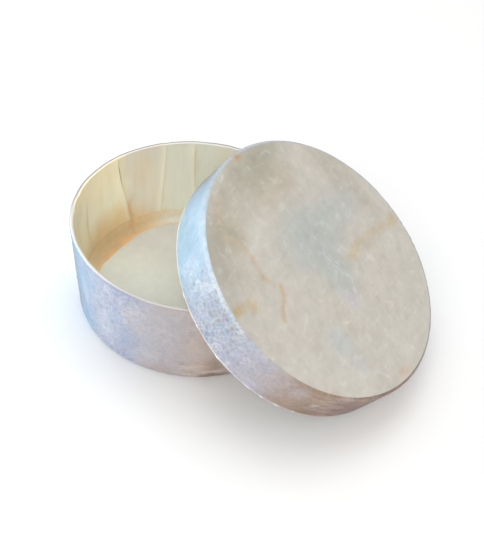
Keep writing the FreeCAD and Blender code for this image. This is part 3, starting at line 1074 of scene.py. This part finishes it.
def upper_corners(name):
    """Corners of a flat CAD sheet's upper face in the lid's frame, in order round its outline."""
    made = bmesh.new()
    made.from_mesh(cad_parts[name].data)
    bmesh.ops.transform(made, matrix=LID.inverted(), verts=made.verts)
    bmesh.ops.remove_doubles(made, verts=made.verts, dist=1e-6)
    upper = {f for f in made.faces if all(v.co.z > LID_DEPTH - VENEER / 2 for v in f.verts)}
    links = {}
    for edge in made.edges:
        if sum(f in upper for f in edge.link_faces) == 1:
            for one, other in (edge.verts, reversed(edge.verts)):
                links.setdefault(one, []).append(other)
    order = [min(links, key=lambda v: v.index)]
    while len(order) < len(links):
        order.append([v for v in links[order[-1]] if v not in order[-2:]][0])
    corners = np.array([v.co[:2] for v in order])
    made.free()
    return corners


def top_outline(name):
    """Outline of a sheet of the lid's top: its rim round, its seams wandering as its neighbours' do."""
    corners = upper_corners(name)
    points = []
    for start, end in zip(corners, np.roll(corners, -1, axis=0)):
        count = max(1, round(np.linalg.norm(end - start) / TOP_STEP))
        run = start + (end - start) * (np.arange(count)[:, None] / count)
        if min(np.linalg.norm(start), np.linalg.norm(end)) > SHEET_RADIUS - 0.05 * MM:
            run = run * (SHEET_RADIUS / np.linalg.norm(run, axis=1))[:, None]
        points.append(run)
    points = np.concatenate(points)
    free = smooth_step(0, 4 * MM, SHEET_RADIUS - np.linalg.norm(points, axis=1))[:, None]
    spots = np.column_stack([points, np.zeros(len(points))])
    return points + wander(spots, 9, 601) * 0.9 * MM * free


def build_lid_top():
    for name in nodes_named("lid_top_shell_"):
        mesh = plate_mesh(top_outline(name), LID_DEPTH, VENEER, top_relief, TOP_STEP)
        finished(name, mesh, TOP, LID)


def build_lid_skirt():
    profile = line((LID_RADIUS, LID_BAND), (LID_RADIUS, LID_DEPTH - SHOULDER), FINE_STEP)
    profile += arc((SHEET_RADIUS, LID_DEPTH - SHOULDER), SHOULDER, 0, 90, FINE_STEP)[1:]
    crackled_ring("lid_skirt_shell_", profile, lid_points, skirt_paint, 200, worn_shoulder, LID)


def ceiling_relief(points, gaps):
    lift, marks = floor_relief(points, gaps)
    return lift, {"paint": tinted(marks["paint"], BEIGE, 0.5 + 0.4 * cloud(points, 20, 451))}


def build_lid_inside():
    inner = SHEET_RADIUS - VENEER
    ceiling = LID_DEPTH - WALL
    profile = line((inner, ceiling), (inner, LID_BAND), SMOOTH_STEP)
    lining_ring("lid_lining_shell_", profile, lid_points, LID_SEAMS, 0, 350, LID)
    mesh = plate_mesh(circle(SHEET_RADIUS), ceiling, -VENEER, ceiling_relief, PLAIN_STEP)
    finished("lid_ceiling_shell", mesh, LINING, LID)


# ---- floor, light and camera

FLOOR_REACH = 3.0           # metres from the middle of the floor to its sides


def build_stage():
    mesh = bpy.data.meshes.new("floor")
    corners = [(FLOOR_REACH * x, FLOOR_REACH * y, 0) for x, y in ((-1, -1), (1, -1), (1, 1), (-1, 1))]
    mesh.from_pydata(corners, [], [(0, 1, 2, 3)])
    floor = placed("floor", mesh)
    mesh.materials.append(plain_material("pale_floor", colour(245, 246, 247), 0.8, 3))


def add_lamp(name, kind, place, target, power, tint, **settings):
    """Hangs a light at a place, turned towards a target."""
    light = bpy.data.lights.new(name, kind)
    light.energy = power
    light.color = tint
    for key, setting in settings.items():
        setattr(light, key, setting)
    turn = (Vector(place) - Vector(target)).to_track_quat("Z", "Y")
    placed(name, light).matrix_world = Matrix.LocRotScale(Vector(place), turn, None)


LIT_MIDDLE = (0.03, 0.0, 0.03)
# Soft round lamps turned towards the middle of the object: name, place, width, watts, tint.
SOFT_LAMPS = [
    ("sky_above", (-0.12, 0.16, 1.10), 0.8, 2.8, (1.0, 0.985, 0.96)),
    ("front_fill", (0.15, -0.85, 0.60), 0.6, 2.2, (1.0, 1.0, 1.0)),
    ("window", (-0.90, -0.30, 0.15), 0.4, 1.9, (0.92, 0.96, 1.0)),
    ("skylight", (-0.50, 0.17, 0.75), 0.12, 0.25, (0.85, 0.94, 1.0)),
]
# The fill that lights the bowl's lining through the gap beside the lid.
FILL_PLACE = (0.16, -0.40, 0.60)
FILL_TARGET = (-0.045, 0.010, 0.030)
FILL_BEAM = math.radians(10)
STUDIO_TINT = (1.0, 0.99, 0.97, 1)
STUDIO_STRENGTH = 0.84


def build_light():
    world = bpy.data.worlds.new("studio")
    SCENE.world = world
    world.use_nodes = True
    background = world.node_tree.nodes["Background"]
    background.inputs["Color"].default_value = STUDIO_TINT
    background.inputs["Strength"].default_value = STUDIO_STRENGTH
    for name, place, width, power, tint in SOFT_LAMPS:
        add_lamp(name, "AREA", place, LIT_MIDDLE, power, tint, shape="DISK", size=width)
    add_lamp("inside_fill", "SPOT", FILL_PLACE, FILL_TARGET, 8.0, (1.0, 0.96, 0.90),
             spot_size=FILL_BEAM, spot_blend=1.0, shadow_soft_size=0.03)


CAMERA_AZIMUTH = math.radians(21.63)
CAMERA_ELEVATION = math.radians(43.73)
CAMERA_ROLL = math.radians(7.65)
CAMERA_DISTANCE = 499.6 * MM
CAMERA_LENS = 62.07         # millimetres
SENSOR_SIZE = 36.0          # millimetres, along the longer side of the picture
CAMERA_AIM = Vector((25.7 * MM, 3.8 * MM, BOWL_HEIGHT / 2))


def build_camera():
    data = bpy.data.cameras.new("camera")
    data.lens = CAMERA_LENS
    data.sensor_width = SENSOR_SIZE
    camera = placed("camera", data)
    aim = Matrix.Translation(CAMERA_AIM)
    turn = Matrix.Rotation(CAMERA_AZIMUTH, 4, "Z")
    tilt = Matrix.Rotation(math.radians(90) - CAMERA_ELEVATION, 4, "X")
    roll = Matrix.Rotation(CAMERA_ROLL, 4, "Z")
    camera.matrix_world = aim @ turn @ tilt @ roll @ Matrix.Translation((0, 0, CAMERA_DISTANCE))
    SCENE.camera = camera


for cad_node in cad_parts.values():
    cad_node.data.materials.clear()
    cad_node.data.materials.append(CORE)
build_bowl_outside()
build_bowl_lining()
build_bowl_floor()
build_bead()
build_bowl_rim()
build_lid_top()
build_lid_skirt()
build_lid_inside()
build_lid_rim()
build_stage()
build_light()
build_camera()
SCENE.view_settings.view_transform = "Standard"
